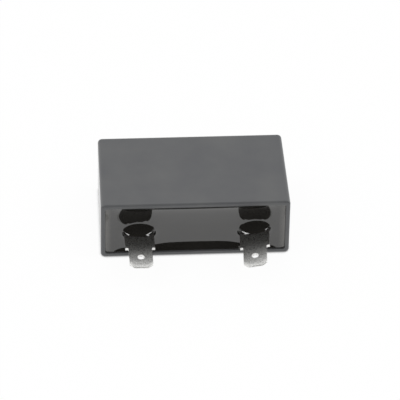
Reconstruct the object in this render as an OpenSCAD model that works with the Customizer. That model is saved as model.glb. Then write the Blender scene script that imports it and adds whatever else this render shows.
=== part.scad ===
// Box film capacitor: a potted plastic case with three film windings and two blade terminals.
// Frame: +Z up, X along the width, the open potted end faces -Y.
// The origin is the middle of the face that the case rests on.

/* [Case] */
// Width of the case along X, at the rim
case_w = 51; // [46:0.5:58]
// Depth of the case along Y, from the rim to the closed end
case_d = 30.5; // [27:0.5:38]
// Height of the case along Z, at the rim
case_h = 17.8; // [15:0.2:20]
// Thickness of the four side walls
wall_t = 1.2; // [0.9:0.1:1.6]
// Thickness of the closed end
floor_t = 1.3; // [0.9:0.1:2]
// How far each side leans in from the rim to the closed end
case_draft = 0.3; // [0:0.05:0.5]
// Outer radius of the corners that run along Y
corner_r = 1.15; // [0.9:0.05:2]
// Radius of the outer edge round the rim
rim_edge_r = 0.65; // [0.3:0.05:0.8]
// Radius of the corners inside the case
inner_r = 0.6; // [0.3:0.05:1]

/* [Terminals] */
// Distance between the two blades where they leave the rim
terminal_pitch = 31.2; // [29:0.2:33]
// Height of the blades' middle plane above the resting face
terminal_z = 7.1; // [6.5:0.05:9]
// Thickness of the sheet that the blades are punched from
blade_t = 0.8; // [0.5:0.05:1]
// Width of the blade that a receptacle grips
blade_w = 6.3; // [4.8:0.1:6.3]
// Length of the blade from its shoulders to its tip
blade_len = 7.9; // [7:0.1:9]
// Width of the blade below its shoulders
shoulder_w = 8; // [7:0.1:9]
// Radius of the inner corner at each shoulder
shoulder_fillet = 0.35; // [0.2:0.05:0.6]
// Size of the corner cuts at the tip
tip_chamfer = 1.25; // [0.8:0.05:1.6]
// Length of the bevel on both faces at the tip
tip_bevel_len = 1; // [0.5:0.1:1.4]
// Thickness left at the very tip
tip_t = 0.4; // [0.2:0.05:0.45]
// Diameter of the detent hole
hole_d = 1.9; // [1.4:0.1:2.2]
// Distance of the hole's centre from the tip
hole_from_tip = 4.1; // [3.6:0.1:4.5]
// How far the wide part goes into the resin behind the rim
root_depth = 2.6; // [2:0.1:3]
// Width of the solder tail behind the wide part
tail_w = 3.2; // [2.4:0.1:4]

/* [Terminal seating] */
// Reach of the left blade's tip in front of the rim
left_reach = 13.3; // [12:0.1:16]
// Reach of the right blade's tip in front of the rim
right_reach = 13.9; // [12:0.1:16]
// Sideways shift of the left blade's root from its nominal place
left_shift = 0.4; // [-0.8:0.1:0.8]
// Sideways shift of the right blade's root from its nominal place
right_shift = 0.4; // [-0.8:0.1:0.8]
// Tilt of the left blade about Y
left_roll = 1.5; // [-5:0.5:5]
// Tilt of the right blade about Y
right_roll = -9.5; // [-12:0.5:5]
// Turn of the left blade about Z
left_yaw = 0.8; // [-3:0.1:3]
// Turn of the right blade about Z
right_yaw = -2.7; // [-3:0.1:3]

/* [Resin] */
// Depth of the resin's level behind the rim at the two ends of the opening
resin_recess = 2.25; // [1.5:0.05:2.6]
// How much deeper the level sags half way between those ends
resin_sag = 0.45; // [0:0.05:0.6]
// Depth of the resin's edge behind the rim where it wets the walls
resin_edge = 0.6; // [0.1:0.05:1]
// How far the resin climbs each blade from its level, half way across the blade
blade_climb = 3.6; // [1:0.1:4]
// The same at the blade's two edges
blade_climb_edge = 2.4; // [0.5:0.1:3]
// Distance over which the climb fades away from a wall
wall_fade = 2.6; // [1.2:0.1:3]
// Distance over which the climb fades away from a blade
blade_fade = 1.5; // [1:0.1:2]

/* [Windings] */
// Room between the windings and the case walls
winding_gap = 0.2; // [0.1:0.05:0.6]
// Room between neighbouring windings
roll_space = 1; // [0.5:0.1:1.2]
// Outer diameter of the plastic cores
core_d = 5; // [4:0.1:5.5]
// Bore of the plastic cores
core_bore = 3; // [2:0.1:3.4]
// Thickness of the zinc sprayed on the winding ends
spray_t = 0.5; // [0.3:0.05:0.8]
// Room behind the windings for the rear wire
rear_room = 1.6; // [1.4:0.1:2]
// Room between the front zinc and the rim for terminals and resin
front_room = 6.7; // [6.2:0.1:8]

/* [Wires and solder] */
// Diameter of the tinned copper wires
wire_d = 0.8; // [0.6:0.05:0.8]
// Solder left under a wire or a blade
seat_t = 0.15; // [0.1:0.05:0.2]
// Outer diameter of the sleeve over the return lead
sleeve_d = 1.8; // [1.4:0.1:2.2]
// Radius of the bends in the return lead
bend_r = 1; // [0.8:0.1:1.2]
// Radius of the solder domes on the zinc
dome_r = 1.5; // [1.2:0.1:1.6]
// Radius of the solder beads on the blade tails
bead_r = 1.15; // [1:0.05:1.2]

/* [Hidden] */

// Facets of hulled corners, of the hollows in the meshed resin, and of the meniscus grid
hull_fn = 32;
cast_fn = 16;
roll_fn = 64;
grid_x = 56;
grid_z = 16;
row_crowding = 1.6;
$fn = 64;

// Planes along Y
rim_y = -case_d / 2;
back_y = case_d / 2;
floor_y = back_y - floor_t;
rear_zinc_y = floor_y - rear_room;
front_zinc_y = rim_y + front_room;
edge_y = rim_y + resin_edge;

// How far a cutter runs past what it cuts, and past a coined tip
overrun = 1;
tip_overrun = 0.01;

// How far a side has leaned in at the plane y
function lean(y) = case_draft * (y - rim_y) / case_d;

// The cavity's half width and its top at the plane y
function cavity_half(y) = case_w / 2 - wall_t - lean(y);
function cavity_top(y) = case_h - wall_t - 2 * lean(y);

// Round to a hundredth, so that the pieces of a bent wire end in the same planes
function snap(v) = round(v * 100) / 100;

// Windings side by side, as large as the cavity's closed end lets them be
winding_d = floor(10 * min(
    cavity_top(floor_y) - wall_t - 2 * winding_gap,
    (2 * (cavity_half(floor_y) - winding_gap) - 2 * roll_space) / 3
)) / 10;
roll_pitch = winding_d + roll_space;
roll_z = snap((cavity_top(floor_y) + wall_t) / 2);
joint_r = (core_d + winding_d) / 4;
joint_x = [joint_r - roll_pitch, joint_r, roll_pitch - joint_r];

// Terminals: place at the rim plane, and room between each tail and the zinc
left_x = -terminal_pitch / 2 + left_shift;
right_x = terminal_pitch / 2 + right_shift;
left_tail_room = 0.55;
right_tail_room = 2;
left_tail = front_room - left_tail_room;
right_tail = front_room - right_tail_room;

// Wires: the front one runs under the left tail, the rear one across the rolls' middle
wire_r = wire_d / 2;
front_wire_y = front_zinc_y - seat_t - wire_r;
front_wire_z = terminal_z - blade_t / 2 - seat_t - wire_r;
rear_wire_y = rear_zinc_y + seat_t + wire_r;
wire_end = 1.3;
wire_overhang = 0.4;

// Return lead: forward in the valley between two windings, across, and down onto the right tail
valley_height = 0.38;
cross_room = 1.7;
foot_shift = 0.2;
foot_len = 1.6;
sleeve_gap = 0.1;
lead_x = roll_pitch / 2;
lead_z = snap(roll_z + winding_d * valley_height);
lead_cross_y = front_zinc_y - cross_room;
lead_end_x = right_x + foot_shift;
lead_end_z = terminal_z + blade_t / 2 + seat_t + wire_r;
lead_end_y = lead_cross_y - bend_r - foot_len;

// Solder: how deep a dome's centre lies behind its face, the bead's room to the floor, and
// how far the foot's bead reaches past the lead's end
dome_sink = 0.35;
bead_floor_room = 0.15;
bead_past_end = 0.3;
lead_bead_r = rear_room - seat_t - wire_r - bead_floor_room;

// Play that the meshed resin leaves round the pieces cast into it; elsewhere it is 0
resin_play = 0.1;
$play = 0;

module disc_along_y(d, y0, y1, bore = 0) {
    translate([0, y1 + $play / 2, 0])
        rotate([90, 0, 0])
            difference() {
                cylinder(d = d + $play, h = y1 - y0 + $play);
                if (bore > 0)
                    translate([0, 0, -overrun])
                        cylinder(d = bore - $play, h = y1 - y0 + 2 * overrun);
            }
}

// ---- Case ----

// A disc standing along Y with both its edges rounded
module corner_bead(r, edge) {
    rotate([90, 0, 0])
        rotate_extrude($fn = hull_fn)
            polygon([
                [0, -edge],
                for (a = [-90 : 360 / hull_fn : 90]) [r - edge + edge * cos(a), edge * sin(a)],
                [0, edge]
            ]);
}

// A drafted box with round corners, inset from the outer faces of the case
module drafted_box(y0, y1, inset, r, edge0, edge1) {
    hull()
        for (side = [-1, 1], end = [[y0 + edge0, edge0], [y1 - edge1, edge1]]) {
            reach_x = case_w / 2 - inset - lean(end[0]) - r;
            for (z = [inset + r, case_h - inset - 2 * lean(end[0]) - r])
                translate([side * reach_x, end[0], z])
                    corner_bead(r, end[1]);
        }
}

// Half width of the cavity at the plane y and the height z, round at its corners
function half_at(y, z) =
    let (past = max(0, wall_t + inner_r - z, z - cavity_top(y) + inner_r))
    cavity_half(y) - inner_r + sqrt(max(0, inner_r * inner_r - past * past));

// Heights of the grid rows at the plane y: round the corners, then crowding at the blades
function rows(y) =
    let (low = wall_t + inner_r, high = cavity_top(y) - inner_r)
    concat(
        [for (a = [90 : -22.5 : 22.5]) low - inner_r * sin(a)],
        [
            for (j = [0 : grid_z])
                let (s = 2 * j / grid_z - 1)
                    terminal_z + (s < 0 ? low - terminal_z : high - terminal_z) * pow(abs(s), row_crowding)
        ],
        [for (a = [22.5 : 22.5 : 90]) high + inner_r * sin(a)]
    );

// Outline of the cavity at the plane y, up the right side and down the left one
function ring(y) =
    let (heights = rows(y), last = len(heights) - 1)
    concat(
        [for (z = heights) [half_at(y, z), y, z]],
        [for (j = [last : -1 : 0]) [-half_at(y, heights[j]), y, heights[j]]]
    );

module cavity() {
    front = ring(rim_y - overrun);
    n = len(front);
    polyhedron(
        points = concat(front, ring(floor_y)),
        faces = concat(
            [[for (k = [n - 1 : -1 : 0]) k]],
            [for (k = [0 : n - 1]) let (m = (k + 1) % n) [k, m, n + m, n + k]],
            [[for (k = [0 : n - 1]) n + k]]
        )
    );
}

module case() {
    color("#6a6b6c")
        difference() {
            drafted_box(rim_y, back_y, 0, corner_r, rim_edge_r, corner_r);
            cavity();
        }
}

// ---- Resin ----

// How close the point p = [x, z] is to a wall: 1 on it, fading to 0
function wall_share(p) =
    let (
        side = max(0, half_at(edge_y, p[1]) - abs(p[0])),
        height = max(0, min(p[1] - wall_t, cavity_top(edge_y) - p[1]))
    )
    1 - (1 - exp(-side / wall_fade)) * (1 - exp(-height / wall_fade));

// Climb at p round a blade that crosses the rim plane at x, tilted by roll: a field of
// ellipses whose foci are the blade's two edges, highest half way between them
function climb_at(p, x, roll) =
    let (
        c = shoulder_w / 2,
        foot = [x, terminal_z],
        edge = [c * cos(roll), -c * sin(roll)],
        r1 = norm(p - foot + edge),
        r2 = norm(p - foot - edge),
        grow = max(1, (r1 + r2) / (2 * c)),
        swing = min(1, abs(r1 - r2) / (2 * c))
    )
    (blade_climb_edge + (blade_climb - blade_climb_edge) * sqrt(1 - swing * swing))
        * exp(-max(0, c * sqrt(grow * grow - 1) - blade_t / 2) / blade_fade);

// The cured surface at p, as a place along Y
function resin_y(p) =
    let (
        wall = wall_share(p),
        climb = climb_at(p, left_x, left_roll) + climb_at(p, right_x, right_roll),
        level = resin_recess + resin_sag * (1 - pow(p[0] / half_at(edge_y, p[1]), 2))
    )
    rim_y + level - (level - resin_edge) * wall - climb * (1 - wall);

// The filled cavity: a grid of surface heights, its sides on the walls, closed by a flat back
module filled_cavity() {
    heights = rows(edge_y);
    top = len(heights) - 1;
    step = grid_x + 1;
    rear = step * (top + 1);
    rear_end = rear + 2 * top + 1;
    polyhedron(
        points = concat(
            [
                for (z = heights, i = [0 : grid_x])
                    let (p = [half_at(edge_y, z) * (2 * i / grid_x - 1), z])
                        [p[0], resin_y(p), p[1]]
            ],
            ring(floor_y)
        ),
        faces = concat(
            [
                for (j = [0 : top - 1], i = [0 : grid_x - 1], k = [0, 1])
                    let (a = j * step + i)
                        k == 0 ? [a, a + step, a + step + 1] : [a, a + step + 1, a + 1]
            ],
            [for (j = [0 : top - 1]) [(j + 1) * step - 1, (j + 2) * step - 1, rear + j + 1, rear + j]],
            [for (j = [0 : top - 1]) [rear_end - j, rear_end - j - 1, (j + 1) * step, j * step]],
            [concat([for (i = [0 : grid_x]) i], [rear, rear_end])],
            [concat([for (i = [grid_x : -1 : 0]) top * step + i], [rear + top + 1, rear + top])],
            [[for (k = [rear : rear_end]) k]]
        )
    );
}

// resize() by zeros keeps every size and makes the whole block one mesh
module resin() {
    color("#101214")
        resize([0, 0, 0])
            difference() {
                filled_cavity();
                cast_in($play = resin_play, $fn = cast_fn);
                place_left() blade(left_reach, left_tail);
                place_right() blade(right_reach, right_tail);
            }
}

// Outsides of the windings, wires and solder that the resin is cast round
module cast_in() {
    for (k = [-1 : 1])
        translate([k * roll_pitch, 0, roll_z])
            disc_along_y(winding_d, front_zinc_y, rear_zinc_y, core_bore, $fn = roll_fn);
    front_wire_rod();
    rear_wire_rod();
    lead_rod();
    lead_sleeve_tube(0);
    for (x = joint_x) {
        translate([x, front_zinc_y, front_wire_z])
            dome_ball();
        translate([x, rear_zinc_y, roll_z])
            mirror([0, 1, 0])
                dome_ball();
    }
    lead_bead();
    left_bead();
    right_bead();
}

// ---- Terminals ----

// Plan of a blade, its tip at y = -reach and its tail's end at y = tail_end
module blade_plan(reach, tail_end) {
    shoulder_y = blade_len - reach;
    half = [
        [blade_w / 2 - tip_chamfer, -reach],
        [blade_w / 2, tip_chamfer - reach],
        for (a = [180 : -15 : 90])
            [
                blade_w / 2 + shoulder_fillet * (1 + cos(a)),
                shoulder_y - shoulder_fillet * (1 - sin(a))
            ],
        [shoulder_w / 2, shoulder_y],
        [shoulder_w / 2, root_depth],
        [tail_w / 2, root_depth],
        [tail_w / 2, tail_end]
    ];
    polygon(concat(half, [for (i = [len(half) - 1 : -1 : 0]) [-half[i][0], half[i][1]]]));
}

module blade(reach, tail_end) {
    difference() {
        intersection() {
            translate([0, 0, -blade_t / 2])
                linear_extrude(blade_t)
                    blade_plan(reach, tail_end);
            rotate([90, 0, 90])
                translate([0, 0, -shoulder_w])
                    linear_extrude(2 * shoulder_w)
                        polygon([
                            [-reach - tip_overrun, -tip_t / 2],
                            [tip_bevel_len - reach, -blade_t / 2],
                            [tail_end + overrun, -blade_t / 2],
                            [tail_end + overrun, blade_t / 2],
                            [tip_bevel_len - reach, blade_t / 2],
                            [-reach - tip_overrun, tip_t / 2]
                        ]);
        }
        translate([0, hole_from_tip - reach, -blade_t])
            cylinder(d = hole_d, h = 2 * blade_t);
    }
}

module place_left() {
    translate([left_x, rim_y, terminal_z])
        rotate([0, left_roll, left_yaw])
            children();
}

module place_right() {
    translate([right_x, rim_y, terminal_z])
        rotate([0, right_roll, right_yaw])
            children();
}

module terminal_left() {
    color("#c4c7c8")
        place_left() blade(left_reach, left_tail);
}

module terminal_right() {
    color("#c4c7c8")
        place_right() blade(right_reach, right_tail);
}

// ---- Windings, their cores and the zinc on their ends ----

module winding(k) {
    color("#d9d7cf")
        translate([k * roll_pitch, 0, roll_z])
            disc_along_y(winding_d, front_zinc_y + spray_t, rear_zinc_y - spray_t, core_d);
}

module core(k) {
    color("#e9e6da")
        translate([k * roll_pitch, 0, roll_z])
            disc_along_y(core_d, front_zinc_y + spray_t, rear_zinc_y - spray_t, core_bore);
}

module spray(k, y) {
    color("#9a9d9f")
        translate([k * roll_pitch, 0, roll_z])
            disc_along_y(winding_d, y, y + spray_t, core_bore);
}

// ---- Wires ----

module rod_along_x(x0, x1) {
    translate([x0 - $play / 2, 0, 0])
        rotate([0, 90, 0])
            cylinder(d = wire_d + $play, h = x1 - x0 + $play);
}

module front_wire_rod() {
    translate([0, front_wire_y, front_wire_z])
        rod_along_x(left_x - tail_w / 2 - wire_overhang, joint_x[2] + wire_end);
}

module rear_wire_rod() {
    translate([0, rear_wire_y, roll_z])
        rod_along_x(joint_x[0] - wire_end, joint_x[2] + wire_end);
}

// Quarter bend from +X round to +Y
module wire_bend() {
    rotate_extrude(angle = 90)
        translate([bend_r, 0])
            circle(d = wire_d + $play);
}

module rod_down(top, bottom) {
    translate([0, 0, bottom - $play / 2])
        cylinder(d = wire_d + $play, h = top - bottom + $play);
}

// Up from the rear wire, forward through the valley, across, down and onto the right tail
module lead_rod() {
    translate([lead_x, rear_wire_y, 0])
        rod_down(lead_z - bend_r, roll_z + wire_r + seat_t);
    translate([lead_x, rear_wire_y - bend_r, lead_z - bend_r])
        rotate([90, 0, 90])
            wire_bend();
    translate([lead_x, 0, lead_z])
        disc_along_y(wire_d, lead_cross_y + bend_r, rear_wire_y - bend_r);
    translate([lead_x + bend_r, lead_cross_y + bend_r, lead_z])
        rotate([0, 0, 180])
            wire_bend();
    translate([0, lead_cross_y, lead_z])
        rod_along_x(lead_x + bend_r, lead_end_x - bend_r);
    translate([lead_end_x - bend_r, lead_cross_y, lead_z - bend_r])
        rotate([90, 0, 0])
            wire_bend();
    translate([lead_end_x, lead_cross_y, 0])
        rod_down(lead_z - bend_r, lead_end_z + bend_r);
    translate([lead_end_x, lead_cross_y - bend_r, lead_end_z + bend_r])
        mirror([0, 0, 1])
            rotate([90, 0, 90])
                wire_bend();
    translate([lead_end_x, 0, lead_end_z])
        disc_along_y(wire_d, lead_end_y, lead_cross_y - bend_r);
}

module lead_sleeve_tube(bore) {
    translate([lead_x, 0, lead_z])
        disc_along_y(sleeve_d, lead_cross_y + bend_r + sleeve_gap, rear_wire_y - bend_r - sleeve_gap, bore);
}

module front_wire() {
    color("#b9a58c") front_wire_rod();
}

module rear_wire() {
    color("#b9a58c") rear_wire_rod();
}

module return_lead() {
    color("#b9a58c") lead_rod();
}

module lead_sleeve() {
    color("#e8e8e4") lead_sleeve_tube(wire_d);
}

// ---- Solder ----

// Ball whose cap stands in front of the plane y = 0
module dome_ball() {
    translate([0, dome_sink, 0])
        sphere(r = dome_r + $play / 2);
}

// Solder dome on a zinc face, its base in the plane y = 0, round a wire along X
module dome() {
    difference() {
        dome_ball();
        translate([-2 * dome_r, 0, -2 * dome_r])
            cube(4 * dome_r);
        translate([0, -seat_t - wire_r, 0])
            rod_along_x(-2 * dome_r, 2 * dome_r);
    }
}

module solder_front(x) {
    color("#b4b8ba")
        translate([x, front_zinc_y, front_wire_z])
            dome();
}

module solder_rear(x) {
    color("#b4b8ba")
        translate([x, rear_zinc_y, roll_z])
            mirror([0, 1, 0])
                dome();
}

// Ball of solder cut off flat where it would meet the zinc
module bead(x, y, z, r, cut_y, side) {
    difference() {
        translate([x, y, z])
            sphere(r = r + $play / 2);
        translate([x - 2 * r, side > 0 ? cut_y : cut_y - 4 * r, z - 2 * r])
            cube(4 * r);
    }
}

module lead_bead() {
    bead(lead_x, rear_wire_y, roll_z + wire_r, lead_bead_r, rear_zinc_y, -1);
}

module left_bead() {
    bead(left_x, front_wire_y, terminal_z - bead_r, bead_r, front_zinc_y, 1);
}

module right_bead() {
    bead(lead_end_x, lead_end_y + bead_r - bead_past_end, terminal_z + bead_r, bead_r, front_zinc_y, 1);
}

module solder_lead() {
    color("#b4b8ba")
        difference() {
            lead_bead();
            rear_wire_rod();
            lead_rod();
        }
}

module solder_terminal_left() {
    color("#b4b8ba")
        difference() {
            left_bead();
            front_wire_rod();
            place_left() blade(left_reach, left_tail);
        }
}

module solder_terminal_right() {
    color("#b4b8ba")
        difference() {
            right_bead();
            lead_rod();
            place_right() blade(right_reach, right_tail);
        }
}

case();
resin();
terminal_left();
terminal_right();
winding(-1);  // winding_left
winding(0);  // winding_middle
winding(1);  // winding_right
core(-1);  // core_left
core(0);  // core_middle
core(1);  // core_right
spray(-1, front_zinc_y);  // spray_front_left
spray(0, front_zinc_y);  // spray_front_middle
spray(1, front_zinc_y);  // spray_front_right
spray(-1, rear_zinc_y - spray_t);  // spray_rear_left
spray(0, rear_zinc_y - spray_t);  // spray_rear_middle
spray(1, rear_zinc_y - spray_t);  // spray_rear_right
front_wire();
rear_wire();
return_lead();
lead_sleeve();
solder_front(joint_x[0]);  // solder_front_left
solder_front(joint_x[1]);  // solder_front_middle
solder_front(joint_x[2]);  // solder_front_right
solder_rear(joint_x[0]);  // solder_rear_left
solder_rear(joint_x[1]);  // solder_rear_middle
solder_rear(joint_x[2]);  // solder_rear_right
solder_lead();
solder_terminal_left();
solder_terminal_right();
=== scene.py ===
"""Box film capacitor: a potted dark plastic case with two tinned blade terminals."""
import math

import bmesh
import bpy
from mathutils import Euler, Matrix, Vector


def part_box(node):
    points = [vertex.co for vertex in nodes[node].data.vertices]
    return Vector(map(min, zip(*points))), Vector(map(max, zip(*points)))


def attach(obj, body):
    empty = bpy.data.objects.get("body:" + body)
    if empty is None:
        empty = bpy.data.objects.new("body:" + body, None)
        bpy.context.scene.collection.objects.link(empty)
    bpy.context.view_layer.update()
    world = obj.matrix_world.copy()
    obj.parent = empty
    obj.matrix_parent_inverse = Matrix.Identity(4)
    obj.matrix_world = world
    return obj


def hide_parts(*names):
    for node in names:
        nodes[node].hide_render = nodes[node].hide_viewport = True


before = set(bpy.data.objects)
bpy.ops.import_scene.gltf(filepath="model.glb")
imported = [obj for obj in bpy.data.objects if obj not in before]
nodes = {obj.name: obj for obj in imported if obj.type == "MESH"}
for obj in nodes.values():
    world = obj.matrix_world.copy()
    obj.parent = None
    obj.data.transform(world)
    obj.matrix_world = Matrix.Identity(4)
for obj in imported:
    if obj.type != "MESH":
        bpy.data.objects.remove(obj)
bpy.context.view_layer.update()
scene = bpy.context.scene
scene.view_settings.view_transform = "Standard"


# ---- Camera ----
# A long lens looks down on the open end from in front, a little from the left,
# and the view is rolled slightly, as a hand-held one is.
view_elevation = math.radians(39.28)
view_azimuth = math.radians(-3.86)
view_roll = math.radians(0.99)
view_distance = 1.0057
aim_behind_rim = 0.014
aim_height = 0.0085
case_low, case_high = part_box("case")

aim = Vector((0, case_low.y + aim_behind_rim, aim_height))
facing = (
    Matrix.Rotation(view_azimuth, 3, "Z")
    @ Matrix.Rotation(math.pi / 2 - view_elevation, 3, "X")
    @ Matrix.Rotation(view_roll, 3, "Z")
)
camera_data = bpy.data.cameras.new("camera")
camera_data.lens = 332.5
camera_data.shift_x = 0.0188
camera_data.shift_y = -0.0056
camera = bpy.data.objects.new("camera", camera_data)
camera.matrix_world = (
    Matrix.Translation(aim + facing @ Vector((0, 0, view_distance))) @ facing.to_4x4()
)
scene.collection.objects.link(camera)
scene.camera = camera


# ---- Case ----
# Injection-moulded box, dark grey glass-filled polyester with a fine matt skin.
# Its sides lean in a little towards the closed end, and the open rim is rounded outside.
wall = 0.0012
end_wall = 0.0013
draft = 0.0003
corner_radius = 0.00115
rim_radius = 0.00065
lip_radius = 0.00004
inner_radius = 0.0006
half_width = case_high.x
rim_y = case_low.y
back_y = case_high.y
case_top = case_high.z
case_depth = back_y - rim_y
same_place = 1e-6


def drafted_block(bm, inset, front, back):
    """A block at an inset from the case's outer sides; returns its vertices."""
    block = bmesh.ops.create_cube(bm, size=1)["verts"]
    for vert in block:
        y = back if vert.co.y > 0 else front
        lean = draft * (y - rim_y) / case_depth
        x = half_width - inset - lean
        z = case_top - inset - 2 * lean if vert.co.z > 0 else inset
        vert.co = Vector((math.copysign(x, vert.co.x), y, z))
    return block


def lies_at(edge, y):
    return all(abs(vert.co.y - y) < same_place for vert in edge.verts)


def rounded_block(bm, inset, front, back, radius):
    """A block whose long edges and back edges are rounded."""
    half_depth = (back - front) / 2
    block = drafted_block(bm, inset, front, back)
    rounded = [
        edge for edge in bm.edges
        if all(vert in block for vert in edge.verts)
        and (abs(edge.verts[0].co.y - edge.verts[1].co.y) > half_depth or lies_at(edge, back))
    ]
    bmesh.ops.bevel(
        bm, geom=rounded, offset=radius, segments=8, profile=0.5, affect="EDGES", material=-1
    )


def frontmost(faces):
    return min(faces, key=lambda face: face.calc_center_median().y)


def object_from(bm, name):
    """Puts the finished shape into the scene as an object of that name."""
    mesh = bpy.data.meshes.new(name)
    bm.to_mesh(mesh)
    bm.free()
    piece = bpy.data.objects.new(name, mesh)
    scene.collection.objects.link(piece)
    return piece


def keep_faces_flat(piece):
    """Shades the rounded edges smoothly and leaves the large faces flat."""
    flat = piece.modifiers.new("flat faces", "WEIGHTED_NORMAL")
    flat.weight = 100
    flat.keep_sharp = True


bm = bmesh.new()
rounded_block(bm, 0, rim_y, back_y, corner_radius)
bmesh.ops.bevel(
    bm, geom=list(frontmost(bm.faces).edges), offset=rim_radius, segments=6, profile=0.5,
    affect="EDGES", material=-1,
)
bmesh.ops.delete(bm, geom=[frontmost(bm.faces)], context="FACES_ONLY")
outer_faces = set(bm.faces)
rounded_block(bm, wall, rim_y, back_y - end_wall, inner_radius)
inner_faces = [face for face in bm.faces if face not in outer_faces]
bmesh.ops.reverse_faces(bm, faces=inner_faces)
mouth = frontmost(inner_faces)
inner_lip = list(mouth.edges)
bmesh.ops.delete(bm, geom=[mouth], context="FACES_ONLY")
bmesh.ops.bridge_loops(bm, edges=[edge for edge in bm.edges if edge.is_boundary])
bmesh.ops.bevel(
    bm, geom=inner_lip, offset=lip_radius, segments=2, profile=0.5, affect="EDGES", material=-1
)
bmesh.ops.recalc_face_normals(bm, faces=bm.faces)
for face in bm.faces:
    face.smooth = True
case_shell = object_from(bm, "case_shell")
keep_faces_flat(case_shell)
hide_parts("case")
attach(case_shell, "root")

# The grain of every solid surface: a soft mottle in tone and gloss, and a fine relief.
grain = bpy.data.node_groups.new("grain", "ShaderNodeTree")
for name, kind in {
    "Vector": "Vector", "Stretch": "Vector",
    "Mottle Scale": "Float", "Mottle Detail": "Float", "From": "Float", "To": "Float",
    "Dark": "Color", "Light": "Color", "Smooth": "Float", "Rough": "Float",
    "Grain Scale": "Float", "Grain Detail": "Float", "Strength": "Float", "Depth": "Float",
}.items():
    grain.interface.new_socket(name, in_out="INPUT", socket_type="NodeSocket" + kind)
for name, kind in {"Colour": "Color", "Roughness": "Float", "Normal": "Vector"}.items():
    grain.interface.new_socket(name, in_out="OUTPUT", socket_type="NodeSocket" + kind)
given = grain.nodes.new("NodeGroupInput").outputs
result = grain.nodes.new("NodeGroupOutput").inputs
mottle = grain.nodes.new("ShaderNodeTexNoise")
share = grain.nodes.new("ShaderNodeMapRange")
tone = grain.nodes.new("ShaderNodeMix")
tone.data_type = "RGBA"
gloss = grain.nodes.new("ShaderNodeMapRange")
drawn_out = grain.nodes.new("ShaderNodeVectorMath")
drawn_out.operation = "MULTIPLY"
relief = grain.nodes.new("ShaderNodeTexNoise")
bump = grain.nodes.new("ShaderNodeBump")
for source, target in (
    (given["Vector"], mottle.inputs["Vector"]),
    (given["Mottle Scale"], mottle.inputs["Scale"]),
    (given["Mottle Detail"], mottle.inputs["Detail"]),
    (mottle.outputs["Fac"], share.inputs["Value"]),
    (given["From"], share.inputs["From Min"]),
    (given["To"], share.inputs["From Max"]),
    (share.outputs["Result"], tone.inputs["Factor"]),
    (given["Dark"], tone.inputs["A"]),
    (given["Light"], tone.inputs["B"]),
    (tone.outputs["Result"], result["Colour"]),
    (mottle.outputs["Fac"], gloss.inputs["Value"]),
    (given["Smooth"], gloss.inputs["To Min"]),
    (given["Rough"], gloss.inputs["To Max"]),
    (gloss.outputs["Result"], result["Roughness"]),
    (given["Vector"], drawn_out.inputs[0]),
    (given["Stretch"], drawn_out.inputs[1]),
    (drawn_out.outputs["Vector"], relief.inputs["Vector"]),
    (given["Grain Scale"], relief.inputs["Scale"]),
    (given["Grain Detail"], relief.inputs["Detail"]),
    (relief.outputs["Fac"], bump.inputs["Height"]),
    (given["Strength"], bump.inputs["Strength"]),
    (given["Depth"], bump.inputs["Distance"]),
    (bump.outputs["Normal"], result["Normal"]),
):
    grain.links.new(source, target)


def grained_material(name, values):
    """A material whose colour, gloss and relief come from the grain with the given values."""
    material = bpy.data.materials.new(name)
    material.use_nodes = True
    tree = material.node_tree
    shader = tree.nodes["Principled BSDF"]
    place = tree.nodes.new("ShaderNodeTexCoord")
    place.name = "place"
    own_grain = tree.nodes.new("ShaderNodeGroup")
    own_grain.name = "grain"
    own_grain.node_tree = grain
    own_grain.inputs["Stretch"].default_value = (1, 1, 1)
    for key, value in values.items():
        own_grain.inputs[key].default_value = value
    tree.links.new(place.outputs["Object"], own_grain.inputs["Vector"])
    tree.links.new(own_grain.outputs["Colour"], shader.inputs["Base Color"])
    tree.links.new(own_grain.outputs["Roughness"], shader.inputs["Roughness"])
    tree.links.new(own_grain.outputs["Normal"], shader.inputs["Normal"])
    return material


case_plastic = grained_material("case_plastic_eroded", {
    "Mottle Scale": 90, "Mottle Detail": 3, "From": 0.3, "To": 0.7,
    "Dark": (0.079, 0.081, 0.086, 1), "Light": (0.098, 0.100, 0.101, 1),
    "Smooth": 0.27, "Rough": 0.36,
    "Grain Scale": 4200, "Grain Detail": 2, "Strength": 0.25, "Depth": 0.00003,
})
# Moulded skins shine more at a grazing angle.
tree = case_plastic.node_tree
shader = tree.nodes["Principled BSDF"]
glance = tree.nodes.new("ShaderNodeLayerWeight")
glance.inputs["Blend"].default_value = 0.5
sheen = tree.nodes.new("ShaderNodeMapRange")
sheen.inputs["From Min"].default_value = 0.88
sheen.inputs["From Max"].default_value = 0.97
sheen.inputs["To Min"].default_value = 1
sheen.inputs["To Max"].default_value = 0.38
smoothed = tree.nodes.new("ShaderNodeMath")
smoothed.operation = "MULTIPLY"
tree.links.new(glance.outputs["Facing"], sheen.inputs["Value"])
tree.links.new(tree.nodes["grain"].outputs["Roughness"], smoothed.inputs[0])
tree.links.new(sheen.outputs["Result"], smoothed.inputs[1])
tree.links.new(smoothed.outputs["Value"], shader.inputs["Roughness"])
case_shell.data.materials.append(case_plastic)


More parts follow.
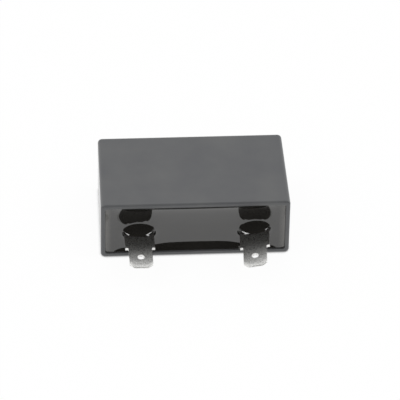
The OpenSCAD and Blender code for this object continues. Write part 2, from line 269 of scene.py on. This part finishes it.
# ---- Terminals ----
# Quick-connect blades, punched from 0.8 mm brass sheet and tinned. Each stands in the resin,
# tilted and turned as it was when the resin set.
blade_thickness = 0.0008
blade_width = 0.0063
blade_length = 0.0079
shoulder_width = 0.008
shoulder_fillet = 0.00035
fillet_angles = range(0, 91, 15)
tip_chamfer = 0.00125
tip_bevel = 0.001
tip_thickness = 0.0004
end_round = 0.0001
hole_radius = 0.00095
hole_from_tip = 0.0041
hole_sides = 40
root_depth = 0.0026
tail_width = 0.0032
blade_z = 0.0071
same_plane = 0.01
sharp_fold = 0.6
merge_distance = 0.000003
sides = {
    "left": {"x": -0.0152, "roll": 1.5, "turn": 0.8, "reach": 0.0133, "tail": 0.00615},
    "right": {"x": 0.016, "roll": -9.5, "turn": -2.7, "reach": 0.0139, "tail": 0.0047},
}


def blade_object(name, reach, tail):
    """A blade with its tip at -Y: outline and hole punched from sheet, tip coined and chamfered."""
    shoulder = blade_length - reach
    corner = blade_width / 2 - tip_chamfer
    fillet = [
        (
            blade_width / 2 + shoulder_fillet * (1 - math.cos(math.radians(angle))),
            shoulder - shoulder_fillet * (1 - math.sin(math.radians(angle))),
        )
        for angle in fillet_angles
    ]
    half = [
        (corner, -reach),
        (blade_width / 2, tip_chamfer - reach),
        *fillet,
        (shoulder_width / 2, shoulder),
        (shoulder_width / 2, root_depth),
        (tail_width / 2, root_depth),
        (tail_width / 2, tail),
    ]
    outline = half + [(-x, y) for x, y in reversed(half)]
    bm = bmesh.new()
    verts = [bm.verts.new((x, y, -blade_thickness / 2)) for x, y in outline]
    for i, vert in enumerate(verts):
        bm.edges.new((vert, verts[i - 1]))
    bmesh.ops.create_circle(
        bm, cap_ends=False, radius=hole_radius, segments=hole_sides,
        matrix=Matrix.Translation((0, hole_from_tip - reach, -blade_thickness / 2)),
    )
    bmesh.ops.triangle_fill(bm, use_beauty=True, edges=bm.edges)
    bmesh.ops.dissolve_limit(
        bm, angle_limit=same_plane, verts=bm.verts, edges=bm.edges, use_dissolve_boundaries=False
    )
    grown = bmesh.ops.extrude_face_region(bm, geom=list(bm.faces))["geom"]
    top = [item for item in grown if isinstance(item, bmesh.types.BMVert)]
    bmesh.ops.translate(bm, verts=top, vec=(0, 0, blade_thickness))
    for x, inward in ((0, (0, 1, 0)), (-corner, (1, 1, 0)), (corner, (-1, 1, 0))):
        inward = Vector(inward).normalized()
        bmesh.ops.bisect_plane(
            bm, geom=list(bm.verts) + list(bm.edges) + list(bm.faces),
            plane_co=Vector((x, -reach, 0)) + tip_bevel * inward, plane_no=inward,
        )
    bmesh.ops.recalc_face_normals(bm, faces=bm.faces)
    for vert in bm.verts:
        from_tip = vert.co.y + reach
        from_chamfer = (from_tip + corner - abs(vert.co.x)) / math.sqrt(2)
        past = 1 - min(from_tip, from_chamfer) / tip_bevel
        if past > 0 and from_tip < tip_chamfer + 2 * tip_bevel:
            vert.co.z *= 1 - min(1, past) * (1 - tip_thickness / blade_thickness)
    end_edges = [
        edge for edge in bm.edges
        if edge.calc_face_angle(0) > sharp_fold
        and all(vert.co.y < tip_chamfer - reach + same_place for vert in edge.verts)
        and edge.verts[0].co.z * edge.verts[1].co.z > 0
    ]
    bmesh.ops.bevel(
        bm, geom=end_edges, offset=end_round, segments=3, profile=0.5, affect="EDGES", material=-1
    )
    bmesh.ops.remove_doubles(bm, verts=bm.verts, dist=merge_distance)
    bmesh.ops.dissolve_degenerate(bm, edges=bm.edges, dist=merge_distance)
    for face in bm.faces:
        face.smooth = True
    for edge in bm.edges:
        edge.smooth = edge.calc_face_angle() < sharp_fold
    blade = object_from(bm, name)
    keep_faces_flat(blade)
    return blade


# Rolled sheet: its grain runs along the blade. The tin coat is mottled.
tinned = grained_material("tinned_blade", {
    "Mottle Scale": 3800, "Mottle Detail": 3, "From": 0.32, "To": 0.68,
    "Dark": (0.56, 0.56, 0.545, 1), "Light": (0.97, 0.97, 0.95, 1),
    "Smooth": 0.22, "Rough": 0.36, "Stretch": (1, 0.12, 1),
    "Grain Scale": 9000, "Grain Detail": 3, "Strength": 0.2, "Depth": 0.00002,
})
tinned.node_tree.nodes["Principled BSDF"].inputs["Metallic"].default_value = 1

for side, seat in sides.items():
    blade = blade_object("blade_" + side, seat["reach"], seat["tail"])
    lean = Euler((0, math.radians(seat["roll"]), math.radians(seat["turn"]))).to_matrix()
    blade.data.transform(Matrix.Translation((seat["x"], rim_y, blade_z)) @ lean.to_4x4())
    blade.data.materials.append(tinned)
    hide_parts("terminal_" + side)
    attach(blade, "root")


# ---- Resin ----
# Black epoxy poured into the open end. It set a little below the rim, and while it was
# liquid it crept up the walls and up both blades, so its glossy face is dished.
level_at_ends = 0.00225
sag = 0.00045
edge_depth = 0.0006
wall_fade = 0.0026
blade_fade = 0.0015
blade_climb = 0.0036
blade_climb_edge = 0.0024
grid_columns = 360
grid_rows = 128
pale_band_starts = 0.0226
pale_band_full = 0.0242
resin_back = back_y - end_wall
edge_lean = draft * edge_depth / case_depth
back_lean = draft * (resin_back - rim_y) / case_depth - edge_lean
mouth_half = half_width - wall - edge_lean
mouth_top = case_top - wall - 2 * edge_lean
dished_to_y = rim_y + level_at_ends + sag + 0.0002


def mouth_half_at(z):
    """Half the mouth's width at the height z: less where its corners are round."""
    past = max(0, wall + inner_radius - z, z - mouth_top + inner_radius)
    return mouth_half - inner_radius + math.sqrt(max(0, inner_radius**2 - past**2))


def wall_share(x, z):
    """How much the walls hold the resin up: 1 at a wall, fading to 0 away from it."""
    beside = max(0, mouth_half_at(z) - abs(x))
    above = max(0, min(z - wall, mouth_top - z))
    return 1 - (1 - math.exp(-beside / wall_fade)) * (1 - math.exp(-above / wall_fade))


def climb_at(x, z, seat):
    """The climb round one blade: ellipses whose foci are its edges, highest half way between."""
    half_root = shoulder_width / 2
    roll = math.radians(seat["roll"])
    foot = Vector((seat["x"], blade_z))
    to_edge = Vector((half_root * math.cos(roll), -half_root * math.sin(roll)))
    here = Vector((x, z))
    from_left = (here - foot + to_edge).length
    from_right = (here - foot - to_edge).length
    grow = max(1, (from_left + from_right) / shoulder_width)
    swing = min(1, abs(from_left - from_right) / shoulder_width)
    height = blade_climb_edge + (blade_climb - blade_climb_edge) * math.sqrt(1 - swing**2)
    away = max(0, half_root * math.sqrt(grow**2 - 1) - blade_thickness / 2)
    return height * math.exp(-away / blade_fade)


def resin_face_y(x, z):
    """Where the resin's face lies at one point of the mouth."""
    share = wall_share(x, z)
    climb = sum(climb_at(x, z, seat) for seat in sides.values())
    level = level_at_ends + sag * (1 - (x / mouth_half_at(z)) ** 2)
    return rim_y + level - (level - edge_depth) * share - climb * (1 - share)


bm = bmesh.new()
bmesh.ops.create_grid(bm, x_segments=grid_columns, y_segments=grid_rows, size=1)
for vert in bm.verts:
    z = wall + (mouth_top - wall) * (vert.co.y + 1) / 2
    x = mouth_half_at(z) * vert.co.x
    vert.co = Vector((x, resin_face_y(x, z), z))
outline = [edge for edge in bm.edges if edge.is_boundary]
grown = bmesh.ops.extrude_edge_only(bm, edges=outline)["geom"]
for vert in grown:
    if isinstance(vert, bmesh.types.BMVert):
        x = vert.co.x * (mouth_half - back_lean) / mouth_half
        z = vert.co.z - 2 * back_lean * (vert.co.z - wall) / (mouth_top - wall)
        vert.co = Vector((x, resin_back, z))
bmesh.ops.contextual_create(bm, geom=[edge for edge in bm.edges if edge.is_boundary])
bmesh.ops.recalc_face_normals(bm, faces=bm.faces)
for face in bm.faces:
    face.smooth = face.calc_center_median().y < dished_to_y
potting = object_from(bm, "potting")
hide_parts("resin")
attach(potting, "root")

epoxy = grained_material("black_epoxy", {
    "Mottle Scale": 260, "Mottle Detail": 4, "From": 0, "To": 1,
    "Dark": (0.0110, 0.0104, 0.0092, 1), "Light": (0.0160, 0.0152, 0.0136, 1),
    "Smooth": 0.03, "Rough": 0.08,
    "Grain Scale": 260, "Grain Detail": 4, "Strength": 0.15, "Depth": 0.00005,
})
# The resin's colour turns paler in a band beside each side wall.
tree = epoxy.node_tree
shader = tree.nodes["Principled BSDF"]
shader.inputs["IOR"].default_value = 1.88
axes = tree.nodes.new("ShaderNodeSeparateXYZ")
from_middle = tree.nodes.new("ShaderNodeMath")
from_middle.operation = "ABSOLUTE"
pale_band_share = tree.nodes.new("ShaderNodeMapRange")
pale_band_share.inputs["From Min"].default_value = pale_band_starts
pale_band_share.inputs["From Max"].default_value = pale_band_full
pale_band = tree.nodes.new("ShaderNodeMix")
pale_band.data_type = "RGBA"
pale_band.inputs["B"].default_value = (0.085, 0.081, 0.073, 1)
tree.links.new(tree.nodes["place"].outputs["Object"], axes.inputs["Vector"])
tree.links.new(axes.outputs["X"], from_middle.inputs[0])
tree.links.new(from_middle.outputs["Value"], pale_band_share.inputs["Value"])
tree.links.new(pale_band_share.outputs["Result"], pale_band.inputs["Factor"])
tree.links.new(tree.nodes["grain"].outputs["Colour"], pale_band.inputs["A"])
tree.links.new(pale_band.outputs["Result"], shader.inputs["Base Color"])
potting.data.materials.append(epoxy)


# ---- Inner pieces ----
# Rolls of metallised film on plastic cores, with sprayed zinc on their ends, joined by tinned
# wires and solder. They are sealed in the resin, and keep their CAD shapes.
tone_spread = (0.85, 1.12)
gloss_spread = 0.08


def inner_finish(name, colour, metallic, roughness, fineness, depth):
    """A finish with a grain of its own, for a piece that keeps its CAD shape."""
    darker, lighter = ([min(1, factor * part) for part in colour] for factor in tone_spread)
    finish = grained_material(name, {
        "Mottle Scale": fineness, "Mottle Detail": 4, "From": 0, "To": 1,
        "Dark": (*darker, 1), "Light": (*lighter, 1),
        "Smooth": roughness - gloss_spread, "Rough": roughness + gloss_spread,
        "Grain Scale": fineness, "Grain Detail": 4, "Strength": 0.5, "Depth": depth,
    })
    finish.node_tree.nodes["Principled BSDF"].inputs["Metallic"].default_value = metallic
    return finish


tinned_wire = inner_finish("tinned_wire", (0.62, 0.60, 0.57), 1, 0.35, 2500, 0.00001)
inner_finishes = {
    "winding": inner_finish("metallised_film", (0.62, 0.61, 0.57), 0.4, 0.35, 900, 0.00002),
    "core": inner_finish("core_plastic", (0.80, 0.78, 0.70), 0, 0.5, 700, 0.00002),
    "spray": inner_finish("sprayed_zinc", (0.36, 0.37, 0.38), 0.6, 0.75, 3500, 0.00008),
    "wire": tinned_wire,
    "return_lead": tinned_wire,
    "sleeve": inner_finish("sleeve_plastic", (0.80, 0.80, 0.78), 0, 0.4, 600, 0.00001),
    "solder": inner_finish("solder", (0.58, 0.59, 0.60), 1, 0.3, 1400, 0.00002),
}
for name, node in nodes.items():
    for part, finish in inner_finishes.items():
        if part in name:
            node.data.materials.clear()
            node.data.materials.append(finish)


# ---- Floor ----
# A sheet of white paper, a hair under the case's flat side. Its glow carries a painted contact
# shadow where the case stands, and from below it is clear.
floor_half = 1.5
under_case = 0.00002
painted_shadow_reach = 0.0016

bm = bmesh.new()
bmesh.ops.create_grid(bm, x_segments=1, y_segments=1, size=floor_half)
bmesh.ops.translate(bm, verts=bm.verts, vec=(0, 0, -under_case))
floor = object_from(bm, "floor")

paper = bpy.data.materials.new("white_paper")
paper.use_nodes = True
tree = paper.node_tree
tree.nodes.clear()
out = tree.nodes.new("ShaderNodeOutputMaterial")
lit = tree.nodes.new("ShaderNodeBsdfDiffuse")
lit.inputs["Color"].default_value = (0.9, 0.9, 0.9, 1)
glow = tree.nodes.new("ShaderNodeEmission")
glow.inputs["Color"].default_value = (1, 1, 1, 1)
# Painted contact shadow: ambient occlusion dims the paper's glow where the case stands close by.
painted_contact_shadow = tree.nodes.new("ShaderNodeAmbientOcclusion")
painted_contact_shadow.samples = 8
painted_contact_shadow.inputs["Distance"].default_value = painted_shadow_reach
shade = tree.nodes.new("ShaderNodeMapRange")
shade.inputs["From Min"].default_value = 0.35
shade.inputs["From Max"].default_value = 0.62
shade.inputs["To Min"].default_value = 0.35
shade.inputs["To Max"].default_value = 1
path = tree.nodes.new("ShaderNodeLightPath")
seen = tree.nodes.new("ShaderNodeMath")
seen.operation = "MAXIMUM"
seen_share = tree.nodes.new("ShaderNodeMath")
seen_share.operation = "MULTIPLY"
seen_share.inputs[1].default_value = 0.95
both = tree.nodes.new("ShaderNodeMixShader")
side_seen = tree.nodes.new("ShaderNodeNewGeometry")
clear = tree.nodes.new("ShaderNodeBsdfTransparent")
one_way = tree.nodes.new("ShaderNodeMixShader")
tree.links.new(painted_contact_shadow.outputs["AO"], shade.inputs["Value"])
tree.links.new(shade.outputs["Result"], glow.inputs["Strength"])
tree.links.new(path.outputs["Is Camera Ray"], seen.inputs[0])
tree.links.new(path.outputs["Is Glossy Ray"], seen.inputs[1])
tree.links.new(seen.outputs["Value"], seen_share.inputs[0])
tree.links.new(seen_share.outputs["Value"], both.inputs["Fac"])
tree.links.new(lit.outputs["BSDF"], both.inputs[1])
tree.links.new(glow.outputs["Emission"], both.inputs[2])
tree.links.new(side_seen.outputs["Backfacing"], one_way.inputs["Fac"])
tree.links.new(both.outputs["Shader"], one_way.inputs[1])
tree.links.new(clear.outputs["BSDF"], one_way.inputs[2])
tree.links.new(one_way.outputs["Shader"], out.inputs["Surface"])
floor.data.materials.append(paper)


# ---- Room and lamps ----
# A white room, dark only in front and above, where the camera stands, so that the resin mirrors
# it. Two tall narrow lamps at the sides draw the small bright arcs beside the blades' roots.
darkest_way = Vector((0, -0.8, 0.6)).normalized()

room = bpy.data.worlds.new("room")
scene.world = room
room.use_nodes = True
tree = room.node_tree
tree.nodes.clear()
out = tree.nodes.new("ShaderNodeOutputWorld")
mirrored = tree.nodes.new("ShaderNodeBackground")
white = tree.nodes.new("ShaderNodeBackground")
white.inputs["Color"].default_value = (1, 1, 1, 1)
white.inputs["Strength"].default_value = 1
fill = tree.nodes.new("ShaderNodeBackground")
fill.inputs["Color"].default_value = (1, 1, 1, 1)
fill.inputs["Strength"].default_value = 0.88
place = tree.nodes.new("ShaderNodeTexCoord")
toward = tree.nodes.new("ShaderNodeVectorMath")
toward.operation = "DOT_PRODUCT"
toward.inputs[1].default_value = darkest_way
as_share = tree.nodes.new("ShaderNodeMapRange")
as_share.inputs["From Min"].default_value = -1
as_share.inputs["From Max"].default_value = 1
dark = tree.nodes.new("ShaderNodeValToRGB")
dark.color_ramp.elements[0].position = 0.62
dark.color_ramp.elements[0].color = (0.85, 0.85, 0.85, 1)
dark.color_ramp.elements[1].position = 0.78
dark.color_ramp.elements[1].color = (0.02, 0.018, 0.016, 1)
path = tree.nodes.new("ShaderNodeLightPath")
shiny = tree.nodes.new("ShaderNodeMixShader")
choose = tree.nodes.new("ShaderNodeMixShader")
tree.links.new(place.outputs["Generated"], toward.inputs[0])
tree.links.new(toward.outputs["Value"], as_share.inputs["Value"])
tree.links.new(as_share.outputs["Result"], dark.inputs["Fac"])
tree.links.new(dark.outputs["Color"], mirrored.inputs["Color"])
tree.links.new(path.outputs["Is Glossy Ray"], shiny.inputs["Fac"])
tree.links.new(fill.outputs["Background"], shiny.inputs[1])
tree.links.new(mirrored.outputs["Background"], shiny.inputs[2])
tree.links.new(path.outputs["Is Camera Ray"], choose.inputs["Fac"])
tree.links.new(shiny.outputs["Shader"], choose.inputs[1])
tree.links.new(white.outputs["Background"], choose.inputs[2])
tree.links.new(choose.outputs["Shader"], out.inputs["Surface"])

case_middle = (case_low + case_high) / 2
for name, lamp_place, power in (
    ("left_lamp", Vector((-0.50, -0.05, 0.70)), 1.0),
    ("right_lamp", Vector((0.50, -0.05, 0.70)), 0.9),
):
    lamp_data = bpy.data.lights.new(name, "AREA")
    lamp_data.shape = "RECTANGLE"
    lamp_data.size = 0.12
    lamp_data.size_y = 0.5
    lamp_data.energy = power
    lamp = bpy.data.objects.new(name, lamp_data)
    lamp.location = lamp_place
    lamp.rotation_euler = (case_middle - lamp_place).to_track_quat("-Z", "Y").to_euler()
    scene.collection.objects.link(lamp)
